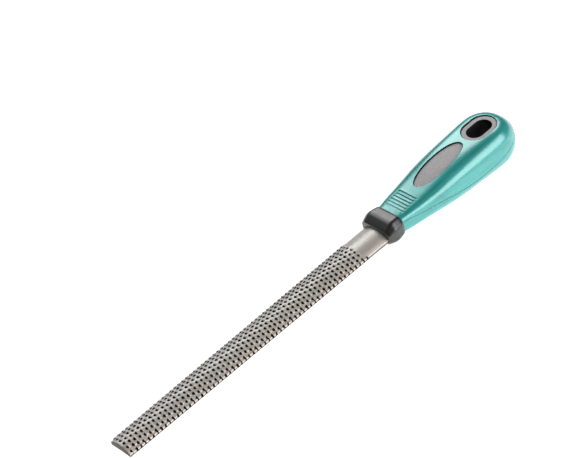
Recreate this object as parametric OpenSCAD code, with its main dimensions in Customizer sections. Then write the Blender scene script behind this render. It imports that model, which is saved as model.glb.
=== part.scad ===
// Half-round rasp with a fixed moulded handle.
// The tool lies along X. The tip of the blade points to -X and the butt of
// the handle to +X. The round side of the blade and the flat of the handle
// face +Z. The origin is under the middle of the tool, at its lowest point.

/* [Blade] */
// Length of blade that stands out of the collar
blade_len = 200; // [150:5:250]
// Width of the blade at the collar
blade_w = 19.4; // [18:0.1:21]
// Width of the blade at its tip
tip_w = 16.6; // [14:0.1:19]
// Thickness of the blade, from its flat side to the crown of its round side
blade_t = 5.6; // [5:0.1:6.2]
// Height of the straight edge below the round side
edge_t = 2.0; // [1:0.1:2.4]
// Length of the tang inside the handle, from the face of the collar
tang_len = 70; // [50:1:72]
// Width of the tang at its root
tang_w = 9; // [7:0.1:10]

/* [Teeth] */
// Distance from one row of teeth to the next
row_pitch = 3.015; // [2.8:0.005:4]
// Distance from one tooth to the next in a row
tooth_pitch = 3.05; // [2.8:0.05:4]
// Sideways step from one row to the next, as a share of the tooth pitch
row_step = 0.672; // [0.3:0.001:0.7]
// Distance from the tip to the first row
first_row = 2.6; // [2:0.1:6]
// Length of plain heel between the last row and the collar
plain_heel = 18; // [10:1:40]
// Height of a tooth above the blade
tooth_h = 0.7; // [0.4:0.05:0.9]
// Width of a tooth across its cutting face
tooth_w = 1.9; // [1.2:0.1:2.2]
// Length of a tooth along the blade
tooth_l = 1.7; // [1.2:0.1:2.2]

/* [Collar] */
// Length of the collar
collar_len = 12.6; // [12:0.2:14]
// Width of the collar at its ridge
collar_w = 25.2; // [25:0.2:28]
// Thickness of the collar at its ridge
collar_t = 15.6; // [15:0.2:17]
// Distance from the front of the collar to its ridge
ridge_x = 5.4; // [4:0.1:7]

/* [Handle] */
// Length of the handle with its collar
handle_len = 111; // [110:0.5:116]
// Greatest width of the handle
grip_w = 36; // [34:0.5:38]
// Greatest thickness of the handle before the flat is cut
grip_t = 29; // [28:0.5:30]
// Wall thickness of the grip shell
grip_wall = 2.6; // [2:0.1:3]
// Depth of the finger grooves on the flat
groove_d = 0.7; // [0.4:0.1:1]
// Distance from one finger groove to the next
groove_pitch = 2.3; // [2:0.1:2.6]
// Half length of a finger groove
groove_half = 7; // [5:0.5:8]

/* [Hang slot and window] */
// Distance from the front of the collar to the middle of the hang slot
slot_x = 90.6; // [88:0.2:92]
// Length of the hang slot
slot_l = 17.2; // [14:0.2:19]
// Width of the hang slot
slot_w = 11.2; // [8:0.2:12]
// Width of the ring of core that shows round the slot
ring_w = 3.2; // [2.4:0.1:4]
// Depth of the ring and the oval below the face of the grip
ring_in = 0.9; // [0.5:0.1:1.2]
// Distance from the front of the collar to the middle of the oval window
oval_x = 55.2; // [54:0.2:58]
// Length of the oval window
oval_l = 39.6; // [30:0.2:41]
// Width of the oval window
oval_w = 14; // [10:0.2:14.6]

/* [Hidden] */

eps = 0.05;              // gap left between pieces that are bonded together
total = blade_len + handle_len;
x0 = -total / 2;         // tip of the blade in the finished frame
xh = x0 + blade_len;     // front of the collar in the finished frame

// Handle sections. Distance behind the front of the collar, half width,
// half thickness, height of the centre, height of the flat, corner exponent.
HS = [
  [ 12, 10.4,  6.5, 3.2,  9.9, 3.4],
  [ 20, 11.9,  7.3, 3.2, 10.4, 3.3],
  [ 28, 13.2,  8.0, 3.3, 11.2, 3.1],
  [ 38, 14.7,  9.3, 3.4, 12.6, 2.9],
  [ 48, 16.1, 11.0, 3.5, 14.1, 2.7],
  [ 60, 17.0, 12.5, 3.5, 15.2, 2.6],
  [ 75, 17.6, 13.7, 3.5, 15.8, 2.5],
  [ 88, 18.0, 14.4, 3.4, 15.9, 2.5],
  [ 98, 17.7, 14.7, 3.5, 15.7, 2.5],
  [112, 16.5, 14.3, 3.8, 15.1, 2.4]];
xe = 90;                 // where the butt starts to round off

function seg(x, T, i = 0) = (i >= len(T) - 2 || x < T[i + 1][0]) ? i : seg(x, T, i + 1);
function slope(T, i, k) =
  i == 0 ? (T[1][k] - T[0][k]) / (T[1][0] - T[0][0]) :
  i == len(T) - 1 ? (T[i][k] - T[i - 1][k]) / (T[i][0] - T[i - 1][0]) :
  (T[i + 1][k] - T[i - 1][k]) / (T[i + 1][0] - T[i - 1][0]);
// Smooth curve through column k of a table of stations
function curve(xx, T, k) = let (x = min(xx, T[len(T) - 1][0]), i = seg(x, T), a = T[i][0], d = T[i + 1][0] - a,
    t = (x - a) / d, t2 = t * t, t3 = t2 * t)
  (2 * t3 - 3 * t2 + 1) * T[i][k] + (t3 - 2 * t2 + t) * d * slope(T, i, k)
  + (3 * t2 - 2 * t3) * T[i + 1][k] + (t3 - t2) * d * slope(T, i + 1, k);

function sgnpow(v, p) = sign(v) * pow(abs(v), p);
// Soft minimum, which rounds the edge of the flat over a width r
function softmin(z, f, r) = let (h = max(r - abs(z - f), 0) / r) min(z, f) - h * h * r / 4;
// How much of the full section is left at x, as the butt rounds off
function butt(x, off) = x <= xe ? 1 :
  pow(max(0, 1 - pow((x - xe) / (handle_len - off - xe), 2.4)), 1 / 2.4);
// Point j of n on the section at x, moved inwards by off
function handle_pt(x, j, n, off) = let (
    k = butt(x, off), e = 2 / curve(x, HS, 5), th = 360 * j / n,
    a = (curve(x, HS, 1) * grip_w / 36 - off) * k,
    b = (curve(x, HS, 2) * grip_t / 29 - off) * k,
    zc = curve(x, HS, 3), zf = curve(x, HS, 4) - off)
  [xh + x, a * sgnpow(cos(th), e), softmin(zc + b * sgnpow(sin(th), e), zf, 1.4) - zlow];

// Lowest point of the tool: the belly of the handle where the slot's window
// begins, because the window cuts away the deepest part
function belly(x) = curve(x, HS, 3) - curve(x, HS, 2) * grip_t / 29 * butt(x, 0);
xw = slot_x - slot_l / 2 - ring_w;
zlow = belly(xw);

// Closed solid through sections at the stations in xs
module loft(xs, n, off) {
  m = len(xs);
  pts = [for (x = xs) for (j = [0:n - 1]) handle_pt(x, j, n, off)];
  polyhedron(pts, concat(
    [[for (j = [0:n - 1]) j]],
    [[for (j = [n - 1:-1:0]) (m - 1) * n + j]],
    [for (i = [0:m - 2]) for (j = [0:n - 1])
      [i * n + j, (i + 1) * n + j, (i + 1) * n + (j + 1) % n, i * n + (j + 1) % n]]),
    convexity = 4);
}

// Slot outline of length l and width w, from z0 to z1, at handle station x
module slot_solid(x, l, w, z0, z1, fn = 32)
  translate([xh + x, 0, z0 - zlow]) hull() for (s = [-1, 1])
    translate([s * (l - w) / 2, 0, 0]) cylinder(h = z1 - z0, d = w, $fn = fn);

// Oval outline of length l and width w
module oval_solid(x, l, w, z0, z1, n = 48)
  translate([xh + x, 0, z0 - zlow]) hull() linear_extrude(z1 - z0)
    polygon([for (j = [0:n - 1]) [l / 2 * sgnpow(cos(360 * j / n), 0.92), w / 2 * sgnpow(sin(360 * j / n), 0.92)]]);

// Block with its four long edges rounded, between two heights and x values
module block(xa, xb, w, za, zb, r)
  hull() for (y = [-1, 1], z = [za + r, zb - r])
    translate([xh + xa, y * (w / 2 - r), z - zlow]) rotate([0, 90, 0]) cylinder(h = xb - xa, r = r, $fn = 16);

// Blade: half-round section at distance x from the tip. Its flat side is z = 0.
function blade_half(x) = (tip_w + (blade_w - tip_w) * min(x, blade_len) / blade_len) / 2;
function crown_r(x) = let (w = blade_half(x), h = blade_t - edge_t) (w * w + h * h) / (2 * h);
function blade_ring(x, g = 0, n = 14) = let (w = blade_half(x) + g, r = crown_r(x) + g, t = asin(min(1, w / r)))
  concat([[x0 + x, -w, -g - zlow]], [[x0 + x, w, -g - zlow]],
    [for (i = [0:n]) let (a = t - 2 * t * i / n) [x0 + x, r * sin(a), blade_t + g - r + r * cos(a) - zlow]]);
module blade_body(xa, xb, g = 0) {
  p = blade_ring(xa, g);
  q = blade_ring(xb, g);
  n = len(p);
  polyhedron(concat(p, q), concat([[for (i = [0:n - 1]) i]], [[for (i = [n - 1:-1:0]) n + i]],
    [for (i = [0:n - 1]) [i, n + i, n + (i + 1) % n, (i + 1) % n]]));
}
// One tooth. It points to the tip: a steep cutting face, then a long back.
module tooth(h = tooth_h, w = tooth_w)
  hull() polyhedron([[0, -w / 2, -0.35], [0, w / 2, -0.35], [tooth_l, 0, -0.35], [0.15, 0, h]],
    [[0, 2, 1], [0, 1, 3], [1, 2, 3], [2, 0, 3]]);

rows = floor((blade_len - plain_heel - first_row) / row_pitch);
// Place of row i's teeth, as a share of the tooth pitch. Each row steps
// sideways, so that the teeth don't stand in line.
function stagger(i) = let (v = 0.33 + row_step * i) v - floor(v);

module teeth_round()
  for (i = [0:rows]) let (x = first_row + i * row_pitch, w = blade_half(x), r = crown_r(x),
      amax = asin(w / r) - 4, da = tooth_pitch / r * 180 / PI, k = ceil(amax / da))
    for (j = [-k - 1:k]) let (a = (j + stagger(i)) * da)
      if (abs(a) < amax)
        translate([x0 + x, r * sin(a), blade_t - r + r * cos(a) - zlow]) rotate([-a, 0, 0]) tooth();

module teeth_flat()
  for (i = [0:rows]) let (x = first_row + i * row_pitch, w = blade_half(x) - 1.2, k = ceil(w / tooth_pitch))
    for (j = [-k - 1:k]) let (y = (j + stagger(i + 1.5)) * tooth_pitch)
      if (abs(y) < w)
        translate([x0 + x, y, -zlow]) mirror([0, 0, 1]) tooth();

// Hardened steel blade, in one piece with the tang inside the handle
module blade() color([0.74, 0.73, 0.71]) {
  blade_body(0, blade_len + 4);
  hull() {
    translate([xh + 3.5, -tang_w / 2, 0.3 - zlow]) cube([1, tang_w, 4.6]);
    translate([xh + tang_len - 1, -tang_w / 4, 1.2 - zlow]) cube([1, tang_w / 2, 2.8]);
  }
  teeth_round();
  teeth_flat();
}

// Space that the blade and tang take in the collar and the core
module blade_space(g) {
  blade_body(blade_len - 1, blade_len + 4 + g, g);
  hull() {
    translate([xh + 3.5 - g, -tang_w / 2 - g, 0.3 - g - zlow]) cube([1, tang_w + 2 * g, 4.6 + 2 * g]);
    translate([xh + tang_len - 1, -tang_w / 4 - g, 1.2 - g - zlow]) cube([1 + g, tang_w / 2 + 2 * g, 2.8 + 2 * g]);
  }
}

// Section of the collar: a block with cut corners
module collar_slab(x, w, za, zb, c)
  translate([xh + x, 0, -zlow]) rotate([90, 0, 90]) linear_extrude(0.01)
    polygon([[-w / 2 + c, za], [w / 2 - c, za], [w / 2, za + c], [w / 2, zb - c],
             [w / 2 - c, zb], [-w / 2 + c, zb], [-w / 2, zb - c], [-w / 2, za + c]]);

// Moulded collar that closes the front of the handle round the blade
module collar() color([0.1, 0.1, 0.11]) {
  zm = 3.2;
  difference() {
    union() {
      hull() {
        collar_slab(0, blade_w + 2.8, -1.7, 7.2, 2.2);
        collar_slab(0.8, blade_w + 4, -2.4, 7.9, 2.6);
        collar_slab(ridge_x - 0.7, collar_w - 0.6, zm - collar_t / 2 + 0.3, zm + collar_t / 2 - 0.35, 3.6);
        collar_slab(ridge_x, collar_w, zm - collar_t / 2, zm + collar_t / 2, 3.8);
        collar_slab(ridge_x + 0.8, collar_w, zm - collar_t / 2, zm + collar_t / 2, 3.8);
        collar_slab(collar_len - 1, collar_w - 1.6, zm - collar_t / 2 + 0.7, zm + collar_t / 2 - 0.5, 3.6);
        collar_slab(collar_len - 0.01, collar_w - 3, zm - collar_t / 2 + 1.2, zm + collar_t / 2 - 0.9, 3.2);
      }
      // spigot that plugs into the core
      block(collar_len - 1, collar_len + 5, 14, zm - 3.6, zm + 3.6, 1.2);
    }
    blade_space(eps);
  }
}

// Stations of the outer and the inner surface of the grip
xs_out = concat([collar_len + eps], [for (x = [16:4:88]) x], [93, 96, 98.6, 101, 103.2, 105.2, 107, 108.5, 109.6, 110.4, 110.85, 110.98]);
xin = handle_len - grip_wall;
xs_in = concat([collar_len + 2.5], [for (x = [18:6:90]) x], [94, 98, 101, 103.6, 105.6, 107, 107.9, 108.3]);
function fit_end(xs, e) = [for (x = xs) x <= xe ? x : xe + (x - xe) * (e - xe) / (xs[len(xs) - 1] + 0.02 - xe)];
ztop = curve(slot_x, HS, 4);
zring = ztop - ring_in;  // the ring lies below the flat
zbot = belly(slot_x) + 1.9;  // and its lower face inside the belly

// Rigid inner moulding: takes the tang, and shows as the ring round the
// hang slot and in the oval window
module handle_core() color([0.68, 0.65, 0.65]) {
  difference() {
    union() {
      loft(fit_end(xs_in, xin - eps), 32, grip_wall + eps);
      slot_solid(slot_x, slot_l + 2 * ring_w - 2 * eps, slot_w + 2 * ring_w - 2 * eps, zbot, zring);
      intersection() {
        oval_solid(oval_x, oval_l - 2 * eps, oval_w - 2 * eps, 4, 20, 40);
        loft([for (x = [20:6:90]) x], 32, ring_in);
      }
    }
    slot_solid(slot_x, slot_l, slot_w, zlow - 1, ztop + 1);
    // pocket for the collar's spigot
    block(collar_len + 1, collar_len + 5 + eps, 14 + 2 * eps, 3.2 - 3.6 - eps, 3.2 + 3.6 + eps, 1.2);
    blade_space(eps);
  }
}
// Moulded grip over the core, with windows for the oval and the ring, and
// finger grooves across the flat behind the collar
module grip_shell() color([0.14, 0.62, 0.58]) {
  difference() {
    loft(fit_end(xs_out, handle_len), 44, 0);
    loft(fit_end(xs_in, xin), 32, grip_wall);
    // front opening, which takes the collar's spigot
    block(collar_len - 1, collar_len + 3, 14 + 2 * eps, 3.2 - 3.6 - eps, 3.2 + 3.6 + eps, 1.2);
    slot_solid(slot_x, slot_l + 2 * ring_w, slot_w + 2 * ring_w, zlow - 1, ztop + 1);
    oval_solid(oval_x, oval_l, oval_w, 6, 20, 40);
    for (i = [0:5]) let (x = 16.9 + i * groove_pitch, z = curve(x, HS, 4))
      translate([xh + x, 0, z - groove_d - zlow]) hull() for (s = [-1, 1])
        translate([0, s * (groove_half - i * 0.08), 0]) cylinder(h = 3, d1 = 0.7, d2 = 3, $fn = 8);
  }
}

blade();
collar();
handle_core();
grip_shell();
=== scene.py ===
import math

import bpy
import numpy as np
from mathutils import Matrix, Vector


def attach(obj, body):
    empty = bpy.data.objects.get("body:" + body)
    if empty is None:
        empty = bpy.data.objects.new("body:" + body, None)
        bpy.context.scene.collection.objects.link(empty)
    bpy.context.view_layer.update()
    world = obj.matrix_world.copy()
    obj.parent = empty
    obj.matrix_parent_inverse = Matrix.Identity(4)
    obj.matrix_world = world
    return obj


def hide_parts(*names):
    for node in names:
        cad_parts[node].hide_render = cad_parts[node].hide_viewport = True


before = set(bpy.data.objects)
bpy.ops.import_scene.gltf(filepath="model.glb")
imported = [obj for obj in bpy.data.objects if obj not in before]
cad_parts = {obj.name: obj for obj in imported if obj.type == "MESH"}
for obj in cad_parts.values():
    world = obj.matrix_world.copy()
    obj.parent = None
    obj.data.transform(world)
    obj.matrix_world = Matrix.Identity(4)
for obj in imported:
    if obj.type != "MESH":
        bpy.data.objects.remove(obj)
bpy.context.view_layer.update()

MM = 0.001
BLADE, HANDLE = 200.0, 111.0          # lengths in mm
X0 = -(BLADE + HANDLE) / 2            # tip
XH = X0 + BLADE                       # front of the collar
TIP_W, BLADE_W, BLADE_T, EDGE_T = 16.6, 19.4, 5.6, 2.0
SLOT_X, SLOT_L, SLOT_W, RING_W, RING_IN = 90.6, 17.2, 11.2, 3.2, 0.9
OVAL_X, OVAL_L, OVAL_W = 55.2, 39.6, 14.0
WALL, GAP = 2.6, 0.05
rng = np.random.default_rng(7)


# ---------------------------------------------------------------- helpers
def make(name, verts, faces, smooth=True, angle=35.0):
    """Mesh object from points in mm."""
    me = bpy.data.meshes.new(name)
    me.from_pydata((np.asarray(verts, float) * MM).tolist(), [], [list(map(int, f)) for f in faces])
    me.validate()
    me.update()
    o = bpy.data.objects.new(name, me)
    bpy.context.scene.collection.objects.link(o)
    if smooth:
        me.polygons.foreach_set("use_smooth", np.ones(len(me.polygons), bool))
        me.set_sharp_from_angle(angle=math.radians(angle))
    return o


def grid_faces(m, n, closed=True):
    """Quads between m rings of n points each."""
    i = np.arange(m - 1)[:, None]
    j = np.arange(n if closed else n - 1)[None, :]
    a = i * n + j
    b = i * n + (j + 1) % n
    return np.stack([a, b, b + n, a + n], -1).reshape(-1, 4)


def loft(rings, cap0=True, cap1=True, flip=False):
    """Closed solid through rings (m, n, 3). Caps are fans round a middle point."""
    rings = np.asarray(rings, float)
    m, n = rings.shape[:2]
    V = rings.reshape(-1, 3)
    F = [tuple(f) for f in grid_faces(m, n)]
    extra = []
    if cap0:
        c = len(V) + len(extra)
        extra.append(rings[0].mean(0))
        F += [(c, (j + 1) % n, j) for j in range(n)]
    if cap1:
        c = len(V) + len(extra)
        extra.append(rings[-1].mean(0))
        o = (m - 1) * n
        F += [(c, o + j, o + (j + 1) % n) for j in range(n)]
    if extra:
        V = np.vstack([V, extra])
    if flip:
        F = [f[::-1] for f in F]
    return V, F


def cut(target, tool, op="DIFFERENCE"):
    """Boolean applied at once; the tool is removed."""
    md = target.modifiers.new("b", "BOOLEAN")
    md.operation = op
    md.object = tool
    md.solver = "MANIFOLD"
    dg = bpy.context.evaluated_depsgraph_get()
    dg.update()
    new = bpy.data.meshes.new_from_object(target.evaluated_get(dg))
    target.modifiers.clear()
    old = target.data
    target.data = new
    bpy.data.meshes.remove(old)
    bpy.data.objects.remove(tool)
    return target


def outward(o):
    """Turn a closed mesh's faces outwards, by the sign of its volume."""
    me = o.data
    me.calc_loop_triangles()
    t = np.zeros(len(me.loop_triangles) * 3, np.int32)
    me.loop_triangles.foreach_get("vertices", t)
    co = np.zeros(len(me.vertices) * 3)
    me.vertices.foreach_get("co", co)
    p = co.reshape(-1, 3)[t.reshape(-1, 3)]
    if np.einsum("ij,ij->i", p[:, 0], np.cross(p[:, 1], p[:, 2])).sum() < 0:
        me.flip_normals()
    return o


def soft(o, angle=32.0):
    me = o.data
    me.polygons.foreach_set("use_smooth", np.ones(len(me.polygons), bool))
    me.set_sharp_from_angle(angle=math.radians(angle))
    return o


def smoothstep(x, a, b):
    t = np.clip((np.asarray(x, float) - a) / (b - a), 0, 1)
    return t * t * (3 - 2 * t)


# ---------------------------------------------------------------- handle form
HS = np.array([
    [12, 10.4, 6.5, 3.2, 9.9, 3.4], [20, 11.9, 7.3, 3.2, 10.4, 3.3], [28, 13.2, 8.0, 3.3, 11.2, 3.1],
    [38, 14.7, 9.3, 3.4, 12.6, 2.9], [48, 16.1, 11.0, 3.5, 14.1, 2.7], [60, 17.0, 12.5, 3.5, 15.2, 2.6],
    [75, 17.6, 13.7, 3.5, 15.8, 2.5], [88, 18.0, 14.4, 3.4, 15.9, 2.5], [98, 17.7, 14.7, 3.5, 15.7, 2.5],
    [112, 16.5, 14.3, 3.8, 15.1, 2.4]])
HSL = np.zeros_like(HS)
HSL[0] = (HS[1] - HS[0]) / (HS[1, 0] - HS[0, 0])
HSL[-1] = (HS[-1] - HS[-2]) / (HS[-1, 0] - HS[-2, 0])
HSL[1:-1] = (HS[2:] - HS[:-2]) / (HS[2:, 0] - HS[:-2, 0])[:, None]
XE = 90.0


def curve(x, k, T=HS, SL=HSL):
    x = np.minimum(np.asarray(x, float), T[-1, 0])
    i = np.clip(np.searchsorted(T[:, 0], x, side="right") - 1, 0, len(T) - 2)
    d = T[i + 1, 0] - T[i, 0]
    t = (x - T[i, 0]) / d
    return ((2 * t**3 - 3 * t**2 + 1) * T[i, k] + (t**3 - 2 * t**2 + t) * d * SL[i, k]
            + (3 * t**2 - 2 * t**3) * T[i + 1, k] + (t**3 - t**2) * d * SL[i + 1, k])


def butt(x, off=0.0):
    x = np.asarray(x, float)
    q = np.clip((x - XE) / (HANDLE - off - XE), 0, 1)
    return np.where(x <= XE, 1.0, np.maximum(0, 1 - q**2.4) ** (1 / 2.4))


def softmin(z, f, r=1.4):
    h = np.maximum(r - np.abs(z - f), 0) / r
    return np.minimum(z, f) - h * h * r / 4


XW = SLOT_X - SLOT_L / 2 - RING_W
ZLOW = float(curve(XW, 3) - curve(XW, 2) * butt(XW))   # lowest point of the tool
ZTOP = float(curve(SLOT_X, 4))
ZRING = ZTOP - RING_IN
ZBOT = float(curve(SLOT_X, 3) - curve(SLOT_X, 2)) + 1.9


def frame_pt(x, y, z):
    """Handle coordinates (mm behind the collar's front, tool height) to the CAD frame, in mm."""
    x, y, z = np.broadcast_arrays(np.asarray(x, float), y, z)
    return np.stack([XH + x, y, z - ZLOW], -1)


def handle_y_z(x, th, off=0.0):
    k = butt(x, off)
    e = 2 / curve(x, 5)
    a, b = (curve(x, 1) - off) * k, (curve(x, 2) - off) * k
    c, s = np.cos(th), np.sin(th)
    y = a * np.sign(c) * np.abs(c) ** e
    z = curve(x, 3) + b * np.sign(s) * np.abs(s) ** e
    return y, softmin(z, curve(x, 4) - off)


def top_z(x, y, off=0.0):
    """Height of the upper surface over (x, y)."""
    k = butt(x, off)
    n = curve(x, 5)
    a, b = (curve(x, 1) - off) * k, (curve(x, 2) - off) * k
    q = np.clip(np.abs(y) / np.maximum(a, 1e-6), 0, 1)
    z = curve(x, 3) + b * np.maximum(0, 1 - q**n) ** (1 / n)
    return softmin(z, curve(x, 4) - off)


def low_z(x, y, off=0.0):
    k = butt(x, off)
    n = curve(x, 5)
    a, b = (curve(x, 1) - off) * k, (curve(x, 2) - off) * k
    q = np.clip(np.abs(y) / np.maximum(a, 1e-6), 0, 1)
    return curve(x, 3) - b * np.maximum(0, 1 - q**n) ** (1 / n)


# height of the parting line between the two halves of the mould, along the side
PL = np.array([[12, 6.3], [20, 5.6], [32, 4.2], [44, 3.0], [58, 0.9], [70, -0.3], [82, 0.4], [91, 1.8],
               [100, 4.2], [106, 5.6], [112, 6.2]], float)
PLS = np.zeros_like(PL)
PLS[0] = (PL[1] - PL[0]) / (PL[1, 0] - PL[0, 0])
PLS[-1] = (PL[-1] - PL[-2]) / (PL[-1, 0] - PL[-2, 0])
PLS[1:-1] = (PL[2:] - PL[:-2]) / (PL[2:, 0] - PL[:-2, 0])[:, None]


def ring_positions(length, n, dense):
    """n + 1 places from 0 to length, with a few set close to both ends."""
    d = np.array(dense)
    mid = np.linspace(d[-1], length - d[-1], n + 1 - 2 * (len(d) - 1))
    return np.concatenate([d[:-1], mid, (length - d[:-1])[::-1]])


def handle_ring(x, off, n, anchored=True):
    """n points round the handle at x, evenly spaced along the outline. Point 0 and point n/2 lie on the parting line."""
    th = np.linspace(0, 2 * np.pi, 1441)[:-1]
    y, z = handle_y_z(x, th, off)
    P = np.stack([y, z], -1)
    k = float(butt(x, off))
    zc = float(curve(x, 3))
    zp = zc + (float(curve(x, 1, PL, PLS)) - zc) * k if anchored else zc
    # parting point on the +Y side: nearest in height on that side
    side = np.nonzero(y > 0)[0]
    i0 = side[np.argmin(np.abs(z[side] - zp) + 1e-3 * np.abs(np.sin(th[side])))]
    i0 = int(i0)
    mirror = int(round((np.pi - th[i0]) % (2 * np.pi) / (2 * np.pi) * 1440)) % 1440
    def arc(i, j):
        idx = (np.arange(i, j + 1 if j >= i else j + 1441)) % 1440
        return P[idx]
    out = []
    for seg_ in (arc(i0, mirror), arc(mirror, i0 if i0 > mirror else i0 + 1440)):
        d = np.concatenate([[0], np.cumsum(np.hypot(*np.diff(seg_, axis=0).T))])
        ln = d[-1]
        s = min(1.0, ln / 30)
        pos = ring_positions(ln, n // 2, np.array([0, 0.16, 0.34, 0.6, 0.95]) * s) if anchored else np.linspace(0, ln, n // 2 + 1)
        out.append(np.stack([np.interp(pos, d, seg_[:, 0]), np.interp(pos, d, seg_[:, 1])], -1)[:-1])
    return np.vstack(out)


# ---------------------------------------------------------------- blade
ROWS, PITCH, FIRST, TOOTH = 60, 3.015, 2.6, 3.05


def half(X):
    return (TIP_W + (BLADE_W - TIP_W) * np.minimum(X, BLADE) / BLADE) / 2


def stagger(i):
    v = 0.33 + 0.672 * i
    return v - np.floor(v)


def tooth_field(X, s, smax, phase0, h0, key):
    """Height above the steel (mm), painted shade over the pits (0 to 1) and nearness to the crests (0 to 1), which also
    places a painted highlight, at (X, s).
    """
    H = np.zeros(np.broadcast(X, s).shape)
    pit_shade = np.zeros_like(H)
    crest_glint = np.zeros_like(H)
    X, s = np.broadcast_arrays(X, s)
    g = np.random.default_rng(key)
    jit = g.normal(0, 1, (ROWS, 32, 4))
    for k in range(ROWS):
        xk = FIRST + PITCH * k
        r0, r1 = np.searchsorted(X[:, 0], [xk - 1.6, xk + 1.72])
        if r1 <= r0:
            continue
        xs, ss = X[r0:r1], s[r0:r1]
        sm = smax(xk)
        n = int(np.ceil(sm / TOOTH)) + 1
        Hs, Ps, Cs = H[r0:r1], pit_shade[r0:r1], crest_glint[r0:r1]
        fade = 0.55 if k == ROWS - 1 else 1.0
        for j in range(-n - 1, n + 1):
            c = (j + stagger(k + phase0)) * TOOTH
            if abs(c) > sm - 0.35:
                continue
            a = jit[k, j % 32]
            c += 0.07 * a[0]
            hh = h0 * (1 + 0.10 * np.clip(a[1], -2, 2)) * fade
            wd = 1.06 * (1 + 0.06 * np.clip(a[2], -2, 2))
            dx = xs - xk - 0.05 * a[3]
            t = (ss - c) / wd
            # burr behind the cut: a rounded scale, tallest at its front
            back = np.clip(1 - dx / 1.55, 0, 1)
            wide = 1 - np.abs(t) ** 2.2 / np.maximum(0.28 + 0.72 * back, 1e-3) ** 1.6
            burr = hh * np.clip(wide, 0, 1) ** 0.75 * back**1.35 * (dx > -0.005)
            # the punch's pit in front of it, deepest at the face
            run = np.clip(1 + dx / 1.5, 0, 1)
            wp = np.clip(1 - (np.abs(t) / np.maximum(0.12 + 0.92 * run, 1e-3)) ** 2.0, 0, 1)
            dig = 0.62 * fade * wp**0.8 * run**1.15 * (dx <= -0.005)
            Hs += burr - dig
            # painted shade over the floor and front of each pit, and a painted highlight on each crest
            mark = np.clip(1 - (np.abs(t) / (0.50 + 0.58 * run)) ** 2.6, 0, 1)
            Ps[:] = np.maximum(Ps, mark**0.55 * smoothstep(run, 0.05, 0.34) * (dx <= -0.005) * fade)
            Cs[:] = np.maximum(Cs, np.clip(wide, 0, 1) * smoothstep(back, 0.78, 0.98) * (dx > -0.005) * fade)
    return H, pit_shade, crest_glint


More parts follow.
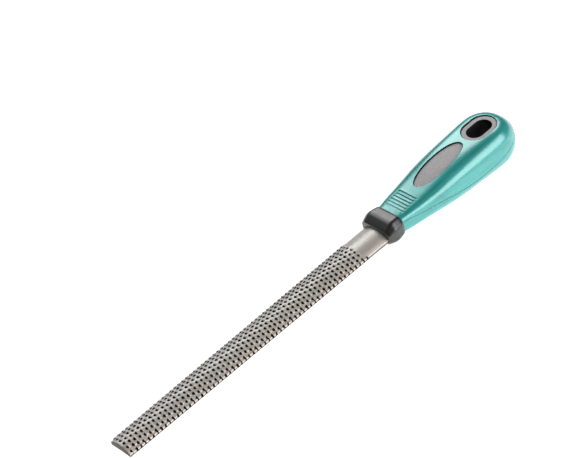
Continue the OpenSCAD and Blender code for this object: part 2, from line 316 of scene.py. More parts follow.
def build_blade():
    offs = np.array([-1.52, -1.2, -0.85, -0.52, -0.24, -0.02, 0.03, 0.22, 0.55, 1.0])
    xs = [0.0, 0.12, 0.34, 0.7, 1.0]
    for k in range(ROWS):
        xs += list(FIRST + PITCH * k + offs)
    last = FIRST + PITCH * (ROWS - 1)
    xs += list(np.arange(last + 1.6, 203.9, 0.9)) + [204.0]
    xs = np.array(sorted(set(np.round([x for x in xs if x >= 0], 4))))
    m = len(xs)
    NT, NS, NB = 82, 6, 56
    w = half(xs)
    hgt = BLADE_T - EDGE_T
    r = (w * w + hgt * hgt) / (2 * hgt)
    amax = np.arcsin(w / r)
    arc = r * amax
    # unfolded places over the round side and both edges, from +Y foot to -Y foot
    foot = EDGE_T - 0.35
    f = np.linspace(1, -1, NT + 1)
    s_top = arc[:, None] * f[None, :]
    side = np.linspace(1, 0, NS + 1)[:-1] * foot
    s_l = arc[:, None] + side[None, :]
    s_r = -(arc[:, None] + side[None, ::-1])
    S = np.concatenate([s_l, s_top, s_r], 1)
    Xg = np.repeat(xs[:, None], S.shape[1], 1)
    sa = np.clip(S, -arc[:, None], arc[:, None])
    over = np.abs(S) - np.abs(sa)
    ang = sa / r[:, None]
    rr = r[:, None]
    Y = rr * np.sin(ang)
    Z = BLADE_T - rr + rr * np.cos(ang) - over
    # normals, turned gently from the crown into the edges
    b = smoothstep(over, -0.0, 0.9)
    # they begin to turn at the edge and are fully turned 0.9 mm past it, so the corner is a small round
    na = ang + np.sign(S) * (np.pi / 2 - np.abs(ang)) * b
    Ny, Nz = np.sin(na), np.cos(na)
    H, pit_shade, crest_glint = tooth_field(Xg, S, lambda x: float(np.interp(x, xs, arc)) + 1.5, 0.0, 0.78, 11)
    edge_fade = 1 - smoothstep(over, 1.2, 1.66)
    # the last scale of each row is pushed out over the edge
    ph = (Xg - FIRST) / PITCH
    row = np.floor(ph + 0.02)
    back = 1 - (ph - row)
    ed = np.abs(S) - arc[:, None]
    live = (row >= 0) & (row < ROWS) & (ed > -1.8)
    swell = 0.74 * np.clip(back, 0, 1) ** 0.8 * smoothstep(ed, -1.7, 0.2) * live
    H = np.maximum(H, swell)
    # painted shade on the front of the last scale, where it is pushed over the edge
    near = np.clip((0.30 - back) / 0.14, 0, 1) * smoothstep(ed, -1.3, -0.2) * live
    pit_shade = np.maximum(pit_shade, 0.95 * near)
    H, pit_shade, crest_glint = H * edge_fade, pit_shade * edge_fade, crest_glint * edge_fade
    # painted shade along the blade's side edges
    pit_shade = np.maximum(pit_shade, 0.33 * smoothstep(over, 0.1, 0.9))
    lean = -0.17 * np.clip(H, 0, 1) / 0.78 * crest_glint
    top = np.stack([Xg + lean, Y + Ny * H, Z + Nz * H], -1)
    # flat side
    fb = np.linspace(-1, 1, NB + 1)
    wf = w[:, None] - 0.3
    yb = wf * fb[None, :]
    Xb = np.repeat(xs[:, None], NB + 1, 1)
    Hb, pb, cb = tooth_field(Xb, yb, lambda x: float(np.interp(x, xs, w)) - 0.85, 1.5, 0.68, 12)
    lb = -0.17 * np.clip(Hb, 0, 1) / 0.78 * cb
    zb = -Hb + 0.0
    bot = np.stack([Xb + lb, yb, zb], -1)
    # small rounds at the feet
    def corner(sign):
        c = []
        for q in (0.35, 0.75):
            a = q * np.pi / 2
            yy = w - 0.3 + 0.3 * math.cos(a)
            zz = np.full(m, 0.3 - 0.3 * math.sin(a))
            c.append(np.stack([xs, sign * yy, zz], -1))
        return c
    cr = corner(-1)
    cl = corner(1)[::-1]
    ring = np.concatenate([top] + [c[:, None] for c in cr] + [bot] + [c[:, None] for c in cl], 1)
    z1 = np.zeros((m, len(cr)))
    P = np.concatenate([pit_shade, z1, pb, z1], 1)
    C = np.concatenate([crest_glint, z1, cb, z1], 1)
    # bevel at the tip: the first ring is drawn in
    mid = np.array([0.0, 0.0, BLADE_T * 0.47])
    for i, amount in ((0, 0.30), (1, 0.10)):
        d = ring[i, :, 1:] - mid[1:]
        ln = np.hypot(d[:, 0], d[:, 1])[:, None]
        ring[i, :, 1:] -= d / ln * amount
    n = ring.shape[1]
    # end caps: an inset ring, then a fan
    rings = [ring[i] for i in range(m)]
    c0 = ring[0].copy(); c0[:, 1:] = mid[1:] + (c0[:, 1:] - mid[1:]) * 0.55
    c1 = ring[-1].copy(); c1[:, 1:] = mid[1:] + (c1[:, 1:] - mid[1:]) * 0.5
    rings = [c0] + rings + [c1]
    V, F = loft(np.array(rings))
    nc0 = n  # quads of the tip face come first
    V[:, 0] += X0
    V[:, 2] -= ZLOW
    attr_p = np.concatenate([np.zeros(n), P.ravel(), np.zeros(n), [0, 0]])
    attr_c = np.concatenate([np.zeros(n), C.ravel(), np.zeros(n), [0, 0]])
    tip_faces = set(range(nc0))
    nquads = (m + 1) * n
    tip_faces |= set(range(nquads, nquads + n))
    # tang, a tapered bar with broken corners, hidden in the handle
    tr = []
    for xx, hw, za, zb_ in ((203.6, 4.5, 0.3, 4.9), (204.5, 4.5, 0.3, 4.9), (236, 3.4, 0.75, 4.45), (269, 2.3, 1.2, 4.0), (270, 1.9, 1.5, 3.7)):
        c = 0.5
        tr.append([[xx, hw, za + c], [xx, hw, zb_ - c], [xx, hw - c, zb_], [xx, -hw + c, zb_], [xx, -hw, zb_ - c],
                   [xx, -hw, za + c], [xx, -hw + c, za], [xx, hw - c, za]])
    TV, TF = loft(np.array(tr))
    TV[:, 0] += X0
    TV[:, 2] -= ZLOW
    return V, F, attr_p, attr_c, tip_faces, (TV, TF)


V, F, ap, ac, tipf, (TV, TF) = build_blade()
blade = make("rasp_blade", V, F, angle=58.0)
outward(blade)
# the painted-shade mask of the pits and edges, and the crest mask that carries a painted highlight, ride on the blade
# as point attributes
for nm, arr in (("pit_shade", ap), ("crest_glint", ac)):
    at = blade.data.attributes.new(nm, "FLOAT", "POINT")
    at.data.foreach_set("value", arr.astype(np.float32))
tang = make("tang_tmp", TV, TF, angle=30.0)
outward(tang)


# ---------------------------------------------------------------- grip
def grip_outer():
    front = [12.65, 12.72, 12.88, 13.1, 13.45, 13.9, 14.5, 15.1]
    groove = list(np.arange(15.5, 30.3, 0.16))
    body = list(np.arange(30.8, 89.9, 0.8))
    ph = np.linspace(0, np.pi / 2, 34)[:-1]
    end = list(XE + (HANDLE - XE) * np.sin(ph) ** (2 / 2.4))
    end += [HANDLE - 0.022]
    xs = np.array(front + groove + body + end)
    N = 248
    R = []
    for x in xs:
        q = handle_ring(min(x, HANDLE - 0.022), 0.0, N)
        R.append(q)
    R = np.array(R)
    X = np.repeat(xs[:, None], N, 1)
    Y, Z = R[..., 0], R[..., 1]
    # outward direction within each section
    T = np.roll(R, -1, 1) - np.roll(R, 1, 1)
    ln = np.maximum(np.hypot(T[..., 0], T[..., 1]), 1e-9)
    Ny, Nz = T[..., 1] / ln, -T[..., 0] / ln
    D = np.zeros_like(Y)
    # front edge
    D -= 0.42 * (1 - np.sqrt(np.clip(1 - (1 - np.clip((X - 12.65) / 0.45, 0, 1)) ** 2, 0, 1)))
    # finger grooves over the flat: six cuts with soft ridges between them
    for i in range(6):
        xc = 16.9 + 2.3 * i
        hl = 7.25 - 0.04 * i
        u = np.abs(X - xc)
        prof = np.clip(1 - (u / 0.62) ** 2, 0, 1) ** 0.8
        D -= (0.30 + 0.05 * i) * prof * (1 - smoothstep(np.abs(Y), hl - 0.5, hl + 0.35)) * (Z > 6)
        rid = np.clip(1 - (np.abs(u - 1.15) / 0.62) ** 2, 0, 1)
        D += 0.05 * rid * (1 - smoothstep(np.abs(Y), hl - 1.2, hl + 0.2)) * (Z > 6)
    # parting line, cut along points 0 and N/2
    idx = np.arange(N)
    dist = np.minimum(np.minimum(idx, N - idx), np.abs(idx - N // 2))
    cutp = np.where(dist == 0, 0.24, np.where(dist == 1, 0.10, np.where(dist == 2, -0.015, 0.0)))
    fade = smoothstep(X, 13.0, 13.9) * (1 - smoothstep(X, 107.5, 110.3))
    D -= cutp[None, :] * fade + 0.005
    Y = Y + Ny * D
    Z = Z + Nz * D
    return frame_pt(X, Y, Z)


def loft_obj(name, rings, angle=30.0):
    V_, F_ = loft(rings)
    return outward(make(name, V_, F_, angle=angle))


def inner_rings(off, xs, n=96):
    return np.array([frame_pt(np.full(n, x), *handle_ring(x, off, n, anchored=False).T) for x in xs])


def fit_end(e):
    ph = np.linspace(0, np.pi / 2, 16)[1:-1]
    return list(XE + (e - XE) * np.sin(ph) ** (2 / 2.4)) + [e - 0.02]


def stadium(l, w, n=112):
    """Points round a slot outline, evenly spaced, with their outward directions."""
    r, c = w / 2, (l - w) / 2
    per = 2 * np.pi * r + 4 * c
    s = (np.arange(n) + 0.5) * per / n
    P, D = [], []
    for t in s:
        if t < 2 * c:
            P.append((c - t, r)); D.append((0, 1))
        elif t < 2 * c + np.pi * r:
            a = np.pi / 2 + (t - 2 * c) / r
            P.append((-c + r * math.cos(a), r * math.sin(a))); D.append((math.cos(a), math.sin(a)))
        elif t < 4 * c + np.pi * r:
            P.append((-c + (t - 2 * c - np.pi * r), -r)); D.append((0, -1))
        else:
            a = -np.pi / 2 + (t - 4 * c - np.pi * r) / r
            P.append((c + r * math.cos(a), r * math.sin(a))); D.append((math.cos(a), math.sin(a)))
    return np.array(P), np.array(D)


def oval(l, w, n=128, p=0.92):
    t = 2 * np.pi * np.arange(n) / n
    c, s = np.cos(t), np.sin(t)
    P = np.stack([l / 2 * np.sign(c) * np.abs(c) ** p, w / 2 * np.sign(s) * np.abs(s) ** p], -1)
    T = np.roll(P, -1, 0) - np.roll(P, 1, 0)
    D = np.stack([T[:, 1], -T[:, 0]], -1)
    return P, D / np.linalg.norm(D, axis=1)[:, None]


def window_cutter(name, P, D, xc, r, low, high=True):
    """Cutter whose mouths are rounded over with radius r where they meet the grip's surface."""
    ph = np.radians([0, 18, 36, 54, 70])
    lip = [(r - r * math.cos(a), -r + r * math.sin(a)) for a in ph]
    lip += [(r + 0.35, 1.3)]
    rings = []
    if low is None:                       # through both faces
        q = P + D * (r + 0.5)
        rings.append(frame_pt(xc + q[:, 0], q[:, 1], np.full(len(q), -18.0)))
        for o, dz in lip[::-1]:
            q = P + D * o
            rings.append(frame_pt(xc + q[:, 0], q[:, 1], low_z(xc + q[:, 0], q[:, 1]) - dz))
    else:
        rings.append(frame_pt(xc + P[:, 0], P[:, 1], np.full(len(P), low)))
    for o, dz in lip:
        q = P + D * o
        rings.append(frame_pt(xc + q[:, 0], q[:, 1], top_z(xc + q[:, 0], q[:, 1]) + dz))
    q = P + D * (r + 0.5)
    rings.append(frame_pt(xc + q[:, 0], q[:, 1], np.full(len(q), 22.0)))
    return loft_obj(name, np.array(rings))


def rounded_bar(name, xa, xb, w, za, zb, r):
    """Bar along X with rounded edges (CAD's block)."""
    pts = []
    for cy, cz, a0 in ((1, 1, 0), (-1, 1, 90), (-1, -1, 180), (1, -1, 270)):
        for a in np.radians(a0 + np.linspace(0, 90, 6)):
            pts.append((cy * (w / 2 - r) + r * math.cos(a), (zb - r if cz > 0 else za + r) + r * math.sin(a)))
    pts = np.array(pts)
    return loft_obj(name, np.array([frame_pt(np.full(len(pts), x), pts[:, 0], pts[:, 1]) for x in (xa, xb)]))


grip = loft_obj("grip", grip_outer(), angle=40.0)
cut(grip, loft_obj("c_inner", inner_rings(WALL, [15.1] + list(np.arange(18, 90, 4.0)) + [90.0] + fit_end(HANDLE - WALL))))
cut(grip, rounded_bar("c_front", 11.6, 15.6, 14.1, -0.45, 6.85, 1.2))
Pw, Dw = stadium(SLOT_L + 2 * RING_W, SLOT_W + 2 * RING_W)
cut(grip, window_cutter("c_slot", Pw, Dw, SLOT_X, 0.38, None))
Po, Do = oval(OVAL_L, OVAL_W)
cut(grip, window_cutter("c_oval", Po, Do, OVAL_X, 0.32, 6.0))
soft(grip, 38.0)


def grip_shade_marks(o):
    """1 in the parting groove and on the walls of the two windows, else 0, at each vertex; these places get the
    painted-shade material.
    """
    n = len(o.data.vertices)
    co = np.zeros(n * 3)
    o.data.vertices.foreach_get("co", co)
    p = co.reshape(-1, 3) / MM
    nr = np.zeros(n * 3)
    o.data.vertices.foreach_get("normal", nr)
    nr = nr.reshape(-1, 3)
    x, y, z = p[:, 0] - XH, p[:, 1], p[:, 2] + ZLOW
    v = np.zeros(n)
    zs = curve(x, 1, PL, PLS)
    inward = np.abs(y) > 5
    v = np.maximum(v, np.exp(-((z - zs) / 0.16) ** 2) * inward * smoothstep(x, 12.9, 13.6) * (1 - smoothstep(x, 104.0, 109.0)))
    tz = top_z(x, y)
    for P_, D_, xc, r in ((Pw, Dw, SLOT_X, 0.38), (Po, Do, OVAL_X, 0.32)):
        d = np.full(n, 9.0)
        q = np.stack([x - xc, y], -1)
        near = (np.abs(q[:, 0]) < 22) & (np.abs(y) < 11) & (z > 5)
        idx = np.nonzero(near)[0]
        for i in idx:
            e = q[i] - P_
            j = int(np.argmin((e * e).sum(1)))
            d[i] = e[j] @ D_[j]
        v = np.maximum(v, near * (d < r * 0.45) * (z < tz - 0.05) * (z > 6.2))
    return v


shade_marks = grip_shade_marks(grip)


# ---------------------------------------------------------------- core
def swept_ring(name, l_in, w_in, width, z0, z1, r=0.45):
    """Ring round the slot: a rounded lip swept round the outline."""
    sec = []
    for a in np.radians([180, 157, 135, 112, 90]):
        sec.append((r + r * math.cos(a), z1 - r + r * math.sin(a)))
    for a in np.radians([90, 67, 45, 22, 0]):
        sec.append((width - r + r * math.cos(a), z1 - r + r * math.sin(a)))
    for a in np.radians([0, -22, -45, -67, -90]):
        sec.append((width - r + r * math.cos(a), z0 + r + r * math.sin(a)))
    for a in np.radians([-90, -112, -135, -157, -180]):
        sec.append((r + r * math.cos(a), z0 + r + r * math.sin(a)))
    P, D = stadium(l_in, w_in)
    rings = []
    for o, z in sec:
        q = P + D * o
        rings.append(frame_pt(SLOT_X + q[:, 0], q[:, 1], np.full(len(q), z)))
    rings = np.array(rings)
    m, n = rings.shape[:2]
    F_ = [tuple(f) for f in grid_faces(m, n)]
    F_ += [((m - 1) * n + j, (m - 1) * n + (j + 1) % n, (j + 1) % n, j) for j in range(n)]
    return outward(make(name, rings.reshape(-1, 3), F_))


def plug(name, P, D, xc, low, off, r=0.3):
    """Solid with upright walls and a top that follows the grip's surface, off below it."""
    rings = [frame_pt(xc + P[:, 0], P[:, 1], np.full(len(P), low))]
    for a in np.radians([0, 22, 45, 67, 90]):
        q = P - D * (r - r * math.cos(a))
        rings.append(frame_pt(xc + q[:, 0], q[:, 1], top_z(xc + q[:, 0], q[:, 1]) - off - r + r * math.sin(a)))
    edge = P - D * r
    # a fine raised border, then the plain panel
    for o, dz in ((0.5, 0.0), (0.75, 0.0), (0.9, -0.1), (1.15, -0.14), (1.6, -0.14)):
        q = edge - D * o
        rings.append(frame_pt(xc + q[:, 0], q[:, 1], top_z(xc + q[:, 0], q[:, 1]) - off + dz))
    base = edge - D * 1.6
    for k in (0.88, 0.74, 0.58, 0.42, 0.26, 0.1):
        q = base * k
        rings.append(frame_pt(xc + q[:, 0], q[:, 1], top_z(xc + q[:, 0], q[:, 1]) - off - 0.14))
    return loft_obj(name, np.array(rings))


core = loft_obj("handle_core_inner", inner_rings(WALL + GAP, [15.15] + list(np.arange(18, 90, 4.0)) + [90.0] + fit_end(HANDLE - WALL - GAP)))
cut(core, plug("u_pad", *oval(OVAL_L - 2 * GAP, OVAL_W - 2 * GAP), OVAL_X, 5.0, RING_IN), "UNION")
Ps, Ds = stadium(SLOT_L, SLOT_W)
hole = loft_obj("c_hole", np.array([frame_pt(SLOT_X + (Ps + Ds * 0.9)[:, 0], (Ps + Ds * 0.9)[:, 1], np.full(len(Ps), z)) for z in (-16.0, 22.0)]))
cut(core, hole)
cut(core, swept_ring("u_ring", SLOT_L, SLOT_W, RING_W - GAP, ZBOT, ZRING), "UNION")
cut(core, rounded_bar("c_pocket", 13.6, 17.65, 14.1, -0.45, 6.85, 1.2))
tr = []
for xx, hw, za, zb_ in ((14.0, 4.4, 0.3, 4.85), (70.05, 2.35, 1.15, 4.05)):
    tr.append(frame_pt([xx] * 4, [hw, -hw, -hw, hw], [za, za, zb_, zb_]))
cut(core, loft_obj("c_tang", np.array(tr)))
soft(core, 34.0)


# ---------------------------------------------------------------- collar
def polar(P, centre, th):
    """Outline P sampled by direction from centre."""
    d = P - centre
    a = np.unwrap(np.arctan2(d[:, 1], d[:, 0]))
    if a[-1] < a[0]:
        a, d = a[::-1], d[::-1]
    r = np.hypot(d[:, 0], d[:, 1])
    aa = np.concatenate([a - 2 * np.pi, a, a + 2 * np.pi])
    rr = np.concatenate([r, r, r])
    t = a[0] + (th - a[0]) % (2 * np.pi)
    rad = np.interp(t, aa, rr)
    return centre + np.stack([np.cos(th), np.sin(th)], -1) * rad[:, None]


def rounded_poly(C, rho, per=10, fill=24):
    """Polygon corners C (counter-clockwise) rounded with radius rho."""
    C = np.asarray(C, float)
    n = len(C)
    out = []
    for i in range(n):
        p, c, q = C[i - 1], C[i], C[(i + 1) % n]
        u, v = (p - c) / np.linalg.norm(p - c), (q - c) / np.linalg.norm(q - c)
        ang = math.acos(np.clip(u @ v, -1, 1))
        t = min(rho / math.tan(ang / 2), 0.45 * min(np.linalg.norm(p - c), np.linalg.norm(q - c)))
        rr = t * math.tan(ang / 2)
        o = c + (u + v) / np.linalg.norm(u + v) * rr / math.sin(ang / 2)
        a0 = math.atan2(*(c + u * t - o)[::-1])
        a1 = math.atan2(*(c + v * t - o)[::-1])
        d = (a1 - a0 + np.pi) % (2 * np.pi) - np.pi
        for k in range(per + 1):
            a = a0 + d * k / per
            out.append(o + rr * np.array([math.cos(a), math.sin(a)]))
        a_, b_ = out[-1], None
        nxt = C[(i + 1) % n]
        # straight part is filled when the next corner's first point is known
        out.append(None)
    # fill the straights
    pts = []
    m = len(out)
    for i, p in enumerate(out):
        if p is None:
            a_, b_ = out[i - 1], out[(i + 1) % m]
            pts += [a_ + (b_ - a_) * k / fill for k in range(1, fill)]
        else:
            pts.append(p)
    return np.array(pts)


def build_collar():
    zm = 3.2
    key = np.array([
        # x, width, z low, z high, corner cut
        [-0.8, 21.0, -1.0, 6.6, 2.0], [0.0, 22.2, -1.7, 7.2, 2.2], [0.8, 23.3, -2.35, 7.85, 2.6],
        [4.9, 24.8, zm - 7.55, zm + 7.5, 3.6], [5.4, 25.2, zm - 7.8, zm + 7.8, 3.8], [6.4, 25.2, zm - 7.8, zm + 7.8, 3.8],
        [11.4, 23.7, zm - 7.1, zm + 7.3, 3.6], [12.6, 22.2, zm - 6.6, zm + 6.9, 3.2], [13.4, 21.2, zm - 6.2, zm + 6.6, 3.0]])
    fine = np.arange(-0.8, 13.41, 0.05)
    prof = np.stack([np.interp(fine, key[:, 0], key[:, k]) for k in range(1, 5)], -1)
    ker = np.exp(-0.5 * (np.arange(-44, 45) * 0.05 / 0.8) ** 2)
    ker /= ker.sum()
    pad = np.pad(prof, ((44, 44), (0, 0)), mode="edge")
    prof = np.stack([np.convolve(pad[:, k], ker, "valid") for k in range(4)], -1)
    N = 192
    th = 2 * np.pi * (np.arange(N) + 0.5) / N
    cen = np.array([0.0, 2.9])

    def outline(x, inset=0.0):
        w, za, zb, c = [float(np.interp(x, fine, prof[:, k])) for k in range(4)]
        w, za, zb = w / 2 - inset, za + inset, zb - inset
        c *= 1.0
        rho = float(np.interp(x, [0, 5, 12.6], [1.8, 3.1, 2.6]))
        C = [(w, za + c), (w, zb - c), (w - c, zb), (-w + c, zb), (-w, zb - c), (-w, za + c), (-w + c, za), (w - c, za)]
        return polar(rounded_poly(C, rho), cen, th)

    def blade_out(x, g):
        w = float(half(200.0)) + g
        hh = BLADE_T - EDGE_T
        r = ((w - g) ** 2 + hh * hh) / (2 * hh) + g
        t = math.asin(min(1, w / r))
        P = [(-w, EDGE_T), (-w, -g)] + [(-w + 2 * w * k / 40, -g) for k in range(1, 40)] + [(w, -g), (w, EDGE_T)]
        P += [(r * math.sin(a), BLADE_T + g - r + r * math.cos(a)) for a in np.linspace(t, -t, 60)]
        P = np.array(P)
        d = np.linalg.norm(np.diff(P, axis=0, append=P[:1]), axis=1) > 1e-6
        P = P[d]
        dense = []
        for i in range(len(P)):
            a_, b_ = P[i], P[(i + 1) % len(P)]
            dense += [a_ + (b_ - a_) * k / 6 for k in range(6)]
        return polar(np.array(dense), cen, th)

    def rect(w, za, zb, r):
        C = [(w / 2, za), (w / 2, zb), (-w / 2, zb), (-w / 2, za)]
        return polar(rounded_poly(C, r), np.array([0.0, (za + zb) / 2]), th)

    R = []
    def add(x, q):
        R.append(frame_pt(np.full(N, x), q[:, 0], q[:, 1]))
    add(17.6, rect(9.1, 0.25, 4.95, 0.3))
    add(4.15, rect(9.1, 0.25, 4.95, 0.3))
    add(4.1, blade_out(0, 0.05))
    add(0.45, blade_out(0, 0.06))
    add(0.18, blade_out(0, 0.12))
    add(0.05, blade_out(0, 0.3))
    a_, b_ = blade_out(0, 0.55), outline(0.0, 0.55)
    add(0.0, a_)
    for k in (0.33, 0.66):
        add(0.0, a_ + (b_ - a_) * k)
    add(0.0, b_)
    for a in np.radians([25, 50, 72]):
        add(0.5 - 0.5 * math.cos(a), outline(0.5 - 0.5 * math.cos(a), 0.55 - 0.55 * math.sin(a)))
    for x in np.concatenate([np.arange(0.5, 4.0, 0.35), np.arange(4.0, 7.4, 0.2), np.arange(7.5, 11.0, 0.4), np.arange(11.0, 12.1, 0.2)]):
        add(x, outline(x))
    for a in np.radians([90, 65, 40, 18, 0]):
        add(12.6 - 0.45 + 0.45 * math.cos(a), outline(12.6 - 0.45 + 0.45 * math.cos(a), 0.45 - 0.45 * math.sin(a)))
    sp = rect(14.0, -0.4, 6.8, 1.2)
    b_ = outline(12.6, 0.45)
    for k in (0.4, 0.8):
        add(12.6, b_ + (sp - b_) * k)
    add(12.6, sp)
    add(17.3, sp)
    add(17.6, rect(13.4, -0.1, 6.5, 1.0))
    R = np.array(R)
    m, n = R.shape[:2]
    F_ = [tuple(f) for f in grid_faces(m, n)]
    F_ += [((m - 1) * n + j, (m - 1) * n + (j + 1) % n, (j + 1) % n, j) for j in range(n)]
    return outward(make("collar_moulding", R.reshape(-1, 3), F_, angle=40.0))


collar = build_collar()


# ---------------------------------------------------------------- materials
class Mat:
    """A small builder round a Principled material."""

    def __init__(self, name):
        self.m = bpy.data.materials.new(name)
        self.m.use_nodes = True
        self.nt = self.m.node_tree
        self.nt.nodes.clear()
        self.out = self.n("ShaderNodeOutputMaterial")
        self.p = self.n("ShaderNodeBsdfPrincipled")
        self.l(self.p.outputs[0], self.out.inputs[0])
        self.co = self.n("ShaderNodeTexCoord").outputs["Object"]

    def n(self, kind, **kw):
        x = self.nt.nodes.new(kind)
        for k, v in kw.items():
            setattr(x, k, v)
        return x

    def l(self, a, b):
        self.nt.links.new(a, b)

    def set(self, **kw):
        for k, v in kw.items():
            self.p.inputs[k.replace("_", " ")].default_value = v

    def noise(self, scale, stretch=(1, 1, 1), detail=3.0, rough=0.5, distortion=0.0):
        mp = self.n("ShaderNodeMapping")
        mp.inputs["Scale"].default_value = stretch
        self.l(self.co, mp.inputs[0])
        t = self.n("ShaderNodeTexNoise")
        t.inputs["Scale"].default_value = scale
        t.inputs["Detail"].default_value = detail
        t.inputs["Roughness"].default_value = rough
        t.inputs["Distortion"].default_value = distortion
        self.l(mp.outputs[0], t.inputs["Vector"])
        return t.outputs["Fac"]

    def ramp(self, src, stops):
        r = self.n("ShaderNodeValToRGB")
        e = r.color_ramp.elements
        while len(e) > 1:
            e.remove(e[-1])
        e[0].position, e[0].color = stops[0][0], (*stops[0][1], 1) if hasattr(stops[0][1], "__len__") else (stops[0][1],) * 3 + (1,)
        for pos, c in stops[1:]:
            k = e.new(pos)
            k.color = (*c, 1) if hasattr(c, "__len__") else (c, c, c, 1)
        self.l(src, r.inputs[0])
        return r.outputs[0]

    def mix(self, fac, a, b, blend="MIX"):
        x = self.n("ShaderNodeMix", data_type="RGBA", blend_type=blend)
        for sock, v in ((x.inputs[0], fac), (x.inputs[6], a), (x.inputs[7], b)):
            if isinstance(v, bpy.types.NodeSocket):
                self.l(v, sock)
            elif hasattr(v, "__len__"):
                sock.default_value = (*v, 1)
            else:
                sock.default_value = v
        return x.outputs[2]

    def math(self, op, a, b=0.0, c=0.0):
        x = self.n("ShaderNodeMath", operation=op)
        for sock, v in zip(x.inputs, (a, b, c)):
            if isinstance(v, bpy.types.NodeSocket):
                self.l(v, sock)
            else:
                sock.default_value = v
        return x.outputs[0]

    def attr(self, name):
        return self.n("ShaderNodeAttribute", attribute_name=name).outputs["Fac"]

    def bump(self, height, strength, distance, normal=None):
        b = self.n("ShaderNodeBump")
        b.inputs["Strength"].default_value = strength
        b.inputs["Distance"].default_value = distance
        self.l(height, b.inputs["Height"])
        if normal is not None:
            self.l(normal, b.inputs["Normal"])
        return b.outputs[0]


def steel():
    k = Mat("blade_steel")
    k.set(Metallic=0.72)
    streak = k.noise(1.0, (55, 2600, 2600), 4.0, 0.6)
    scratch = k.noise(1.0, (130, 7000, 7000), 2.0, 0.5)
    patch = k.noise(38.0, (1, 2.2, 2.2), 3.0, 0.55)
    base = k.ramp(patch, [(0.25, (0.76, 0.715, 0.665)), (0.5, (0.88, 0.855, 0.82)), (0.8, (0.80, 0.74, 0.675))])
    base = k.mix(0.24, base, k.ramp(streak, [(0.3, 0.45), (0.52, 0.78), (0.75, 0.98)]), "MULTIPLY")
    base = k.mix(0.30, base, k.ramp(scratch, [(0.36, 0.45), (0.62, 1.0)]), "MULTIPLY")
    grain = k.noise(820.0, (1, 1.5, 1.5), 4.0, 0.65)
    base = k.mix(0.42, base, k.ramp(grain, [(0.34, 0.50), (0.64, 1.0)]), "MULTIPLY")
    # the -Y side painted warmer and tan, patchy with the same noise: a painted warm reflection
    ax = k.n("ShaderNodeSeparateXYZ")
    k.l(k.co, ax.inputs[0])
    warm_side_reflection = k.ramp(k.math("MULTIPLY_ADD", ax.outputs[1], -60.0, 0.45), [(0.30, 0.0), (0.95, 1.0)])
    base = k.mix(k.math("MULTIPLY", warm_side_reflection, k.math("ADD", patch, 0.35)), base, (0.78, 0.70, 0.62))
    # painted shade in the pits and along the side edges, varied by noise, and a painted highlight on each tooth's crest
    pit_shade_noise = k.noise(900.0, (1, 1, 1), 2.0, 0.5)
    dark = k.math("MULTIPLY", k.attr("pit_shade"), k.math("ADD", k.math("MULTIPLY", pit_shade_noise, 0.5), 0.78))
    dark = k.ramp(dark, [(0.10, 0.0), (0.44, 1.0)])
    base = k.mix(dark, base, (0.008, 0.007, 0.007))
    crest_highlight = k.ramp(k.attr("crest_glint"), [(0.35, 0.0), (0.95, 1.0)])
    base = k.mix(crest_highlight, base, (0.97, 0.96, 0.94))
    k.l(base, k.p.inputs["Base Color"])
    rough = k.math("ADD", k.math("MULTIPLY", streak, 0.16), 0.42)
    rough = k.math("ADD", rough, k.math("MULTIPLY", dark, 0.35))
    k.l(rough, k.p.inputs["Roughness"])
    b = k.bump(streak, 0.45, 0.00007)
    b = k.bump(scratch, 0.40, 0.00003, b)
    k.l(b, k.p.inputs["Normal"])
    return k.m


def tip_steel():
    k = Mat("tip_steel")
    k.set(Metallic=0.75)
    saw = k.noise(1.0, (900, 260, 5200), 3.0, 0.6)
    patch = k.noise(260.0, (1, 1, 1), 3.0, 0.6)
    base = k.ramp(patch, [(0.3, (0.066, 0.052, 0.042)), (0.55, (0.105, 0.090, 0.078)), (0.8, (0.085, 0.078, 0.072))])
    base = k.mix(0.35, base, k.ramp(saw, [(0.3, 0.5), (0.7, 1.0)]), "MULTIPLY")
    k.l(base, k.p.inputs["Base Color"])
    k.l(k.math("ADD", k.math("MULTIPLY", saw, 0.2), 0.36), k.p.inputs["Roughness"])
    k.l(k.bump(saw, 0.4, 0.00005), k.p.inputs["Normal"])
    return k.m


def black_plastic():
    k = Mat("collar_plastic")
    grain = k.noise(2600.0, (1, 1, 1), 2.0, 0.5)
    mottle = k.noise(170.0, (1, 1, 1), 4.0, 0.6)
    rub = k.noise(420.0, (0.4, 1, 1), 5.0, 0.65)
    base = k.ramp(mottle, [(0.3, (0.006, 0.006, 0.0068)), (0.7, (0.012, 0.0115, 0.0125))])
    base = k.mix(k.ramp(rub, [(0.58, 0.0), (0.78, 0.35)]), base, (0.05, 0.049, 0.05))
    k.l(base, k.p.inputs["Base Color"])
    k.l(k.math("ADD", k.math("MULTIPLY", mottle, 0.16), 0.30), k.p.inputs["Roughness"])
    k.l(k.bump(grain, 0.30, 0.00004), k.p.inputs["Normal"])
    k.set(Specular_IOR_Level=0.9, Coat_Weight=0.45, Coat_Roughness=0.20, Coat_IOR=1.6)
    return k.m


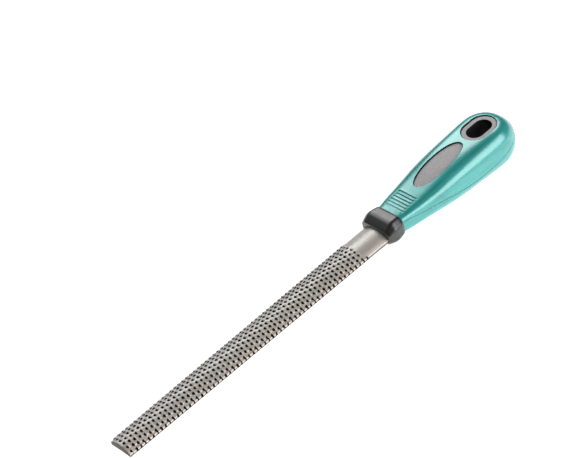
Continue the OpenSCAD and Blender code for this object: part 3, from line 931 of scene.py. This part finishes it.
def teal_plastic():
    k = Mat("grip_plastic")
    flow = k.noise(1.0, (20, 230, 230), 5.0, 0.6, 0.9)
    cloud = k.noise(46.0, (0.7, 1, 1), 3.0, 0.5)
    flake = k.noise(5200.0, (1, 1, 1), 1.0, 0.4)
    base = k.ramp(flow, [(0.30, (0.006, 0.330, 0.310)), (0.5, (0.013, 0.440, 0.412)), (0.70, (0.045, 0.560, 0.520))])
    base = k.mix(0.35, base, k.ramp(cloud, [(0.3, (0.010, 0.36, 0.335)), (0.7, (0.028, 0.50, 0.47))]))
    base = k.mix(k.ramp(flake, [(0.56, 0.0), (0.76, 0.45)]), base, (0.20, 0.66, 0.58))
    k.l(base, k.p.inputs["Base Color"])
    k.l(k.math("ADD", k.math("MULTIPLY", flow, 0.12), 0.34), k.p.inputs["Roughness"])
    b = k.bump(k.noise(150.0, (0.2, 1, 1), 3.0, 0.5), 0.22, 0.00022)
    b = k.bump(flake, 0.06, 0.00001, b)
    k.l(b, k.p.inputs["Normal"])
    k.set(Metallic=0.30, Coat_Weight=1.0, Coat_Roughness=0.24, Coat_IOR=1.95, Specular_IOR_Level=0.3)
    return k.m


def teal_shadow():
    """Painted shade: the dark line in the parting groove and on the window walls."""
    k = Mat("grip_painted_shade")
    n = k.noise(600.0, (1, 1, 1), 3.0, 0.55)
    k.l(k.ramp(n, [(0.3, (0.003, 0.022, 0.023)), (0.7, (0.006, 0.040, 0.040))]), k.p.inputs["Base Color"])
    k.l(k.math("ADD", k.math("MULTIPLY", n, 0.2), 0.55), k.p.inputs["Roughness"])
    k.set(Specular_IOR_Level=0.2)
    return k.m


def grey_plastic():
    k = Mat("core_plastic")
    mott = k.noise(650.0, (1, 1, 1), 4.0, 0.65)
    fine = k.noise(3000.0, (1, 1, 1), 2.0, 0.5)
    base = k.ramp(mott, [(0.28, (0.46, 0.43, 0.435)), (0.5, (0.57, 0.535, 0.54)), (0.72, (0.66, 0.625, 0.63))])
    k.l(base, k.p.inputs["Base Color"])
    k.l(k.math("ADD", k.math("MULTIPLY", mott, 0.2), 0.34), k.p.inputs["Roughness"])
    b = k.bump(mott, 0.35, 0.00008)
    b = k.bump(fine, 0.2, 0.00002, b)
    k.l(b, k.p.inputs["Normal"])
    return k.m


# near-black material for the walls inside the slot, also used as painted shade on the ring's outer wall
def slot_dark_and_ring_shade():
    k = Mat("core_dark")
    n = k.noise(500.0, (1, 1, 1), 3.0, 0.5)
    k.l(k.ramp(n, [(0.3, 0.006), (0.7, 0.012)]), k.p.inputs["Base Color"])
    k.l(k.math("ADD", k.math("MULTIPLY", n, 0.2), 0.5), k.p.inputs["Roughness"])
    k.set(Specular_IOR_Level=0.3)
    return k.m


m_steel, m_tip, m_black, m_teal, m_grey, m_slot = steel(), tip_steel(), black_plastic(), teal_plastic(), grey_plastic(), slot_dark_and_ring_shade()
blade.data.materials.append(m_steel)
blade.data.materials.append(m_tip)
mi = np.zeros(len(blade.data.polygons), np.int32)
mi[list(tipf)] = 1
blade.data.polygons.foreach_set("material_index", mi)
tang.data.materials.append(m_steel)
collar.data.materials.append(m_black)
grip.data.materials.clear()
grip.data.materials.append(m_teal)
grip.data.materials.append(teal_shadow())
# faces in the parting groove and on the window walls get the painted-shade material
gi = np.array([float(np.mean(shade_marks[list(p.vertices)])) > 0.45 for p in grip.data.polygons])
grip.data.polygons.foreach_set("material_index", gi.astype(np.int32))

core.data.materials.clear()
core.data.materials.append(m_grey)
core.data.materials.append(m_slot)
nf = len(core.data.polygons)
cen = np.zeros(nf * 3)
core.data.polygons.foreach_get("center", cen)
cen = cen.reshape(-1, 3) / MM
nor = np.zeros(nf * 3)
core.data.polygons.foreach_get("normal", nor)
nor = nor.reshape(-1, 3)
hx, hy = np.abs(cen[:, 0] - XH - SLOT_X), np.abs(cen[:, 1])
c_ = (SLOT_L - SLOT_W) / 2
rad = np.hypot(np.maximum(hx - c_, 0), hy)
# the slot's inner walls are made near black; the ring's outer wall gets painted shade, the dark line round the ring
wall = (rad < SLOT_W / 2 + 0.28) & (np.abs(cen[:, 2] - (ZBOT + ZRING - 2 * ZLOW) / 2) < (ZRING - ZBOT) / 2 - 0.12) & (hx < 20)
ring_gap_shade = (rad > SLOT_W / 2 + RING_W - 0.3) & (rad < SLOT_W / 2 + RING_W + 0.2) & (np.abs(nor[:, 2]) < 0.5) & (hx < 20)
core.data.polygons.foreach_set("material_index", (wall | ring_gap_shade).astype(np.int32))

# the tang joins the blade, as it is one piece of steel
bpy.ops.object.select_all(action="DESELECT")
tang.select_set(True)
blade.select_set(True)
bpy.context.view_layer.objects.active = blade
bpy.ops.object.join()

# ---------------------------------------------------------------- riding on the frame
for o, node, slot in ((blade, "blade", "blade_steel"), (collar, "collar", "collar_plastic"),
                      (core, "handle_core", "core_plastic"), (grip, "grip_shell", "grip_plastic")):
    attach(o, "root")
    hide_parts(node)

# ---------------------------------------------------------------- floor
vs = []
for o in (blade, grip):
    co = np.zeros(len(o.data.vertices) * 3)
    o.data.vertices.foreach_get("co", co)
    vs.append(co.reshape(-1, 3))
vs = np.vstack(vs)
tipv = vs[vs[:, 0] < (X0 + 6) * MM]
ti = tipv[np.argmin(tipv[:, 2])]
far = vs[vs[:, 0] > 0.06]
slope = np.min((far[:, 2] - ti[2]) / (far[:, 0] - ti[0]))
level = np.min(vs[:, 2] - slope * vs[:, 0])
fl = []
for sx in (-1, 1):
    for sy in (-1, 1):
        fl.append((sx * 4.0, sy * 4.0, slope * sx * 4.0 + level - 0.00002))
me = bpy.data.meshes.new("floor")
me.from_pydata(fl, [], [(0, 2, 3, 1)])
floor = bpy.data.objects.new("floor", me)
bpy.context.scene.collection.objects.link(floor)
fm = bpy.data.materials.new("floor_white")
fm.use_nodes = True
fp = fm.node_tree.nodes["Principled BSDF"]
fp.inputs["Base Color"].default_value = (0.55, 0.55, 0.55, 1)
fp.inputs["Roughness"].default_value = 0.9
fp.inputs["Specular IOR Level"].default_value = 0.1
fp.inputs["Emission Color"].default_value = (1, 1, 1, 1)
fp.inputs["Emission Strength"].default_value = 0.90
me.materials.append(fm)

# ---------------------------------------------------------------- light
world = bpy.data.worlds.new("studio")
bpy.context.scene.world = world
world.use_nodes = True
bg = world.node_tree.nodes["Background"]
bg.inputs[0].default_value = (0.93, 0.96, 1.0, 1)
bg.inputs[1].default_value = 0.08


def area(name, where, target, size, watts, colour=(1, 1, 1)):
    d = bpy.data.lights.new(name, "AREA")
    d.shape = "RECTANGLE"
    d.size, d.size_y = size
    d.energy = watts
    d.color = colour
    o = bpy.data.objects.new(name, d)
    o.location = where
    o.rotation_mode = "QUATERNION"
    o.rotation_quaternion = (Vector(target) - Vector(where)).to_track_quat("-Z", "Y")
    bpy.context.scene.collection.objects.link(o)
    return o


area("softbox_back", (0.92, 1.02, 1.02), (0.05, 0.0, 0.0), (0.75, 0.6), 5.6, (1.0, 0.995, 0.985))
area("softbox_wide", (0.0, 1.22, 1.50), (-0.05, 0.0, 0.0), (1.3, 1.0), 8.8, (0.97, 0.99, 1.0))
area("softbox_right", (0.62, -1.32, 0.66), (0.05, 0.0, 0.02), (1.5, 1.0), 15.5, (1.0, 1.0, 1.0))

# ---------------------------------------------------------------- camera
R = np.array([[0.7046449962137277, -0.6767871778118953, -0.21315380658192795],
              [-0.5770947686132729, -0.3718452931077899, -0.7271125814017901],
              [0.4128402322329413, 0.635366188857254, -0.6525892649338169]])
eye = np.array([-415.3131048506999 - 155.5, -862.5618112450351, 935.6071788748 - ZLOW]) * MM
cam_d = bpy.data.cameras.new("camera")
cam = bpy.data.objects.new("camera", cam_d)
bpy.context.scene.collection.objects.link(cam)
M = Matrix.Identity(4)
for i in range(3):
    M[i][0], M[i][1], M[i][2], M[i][3] = R[0, i], -R[1, i], -R[2, i], eye[i]
cam.matrix_world = M
cam_d.sensor_width = 36.0
cam_d.lens = 2462.652540349356 / 582 * 36.0
cam_d.clip_start, cam_d.clip_end = 0.05, 50.0
bpy.context.scene.camera = cam

bpy.context.scene.view_settings.view_transform = "Standard"
bpy.context.scene.view_settings.look = "None"
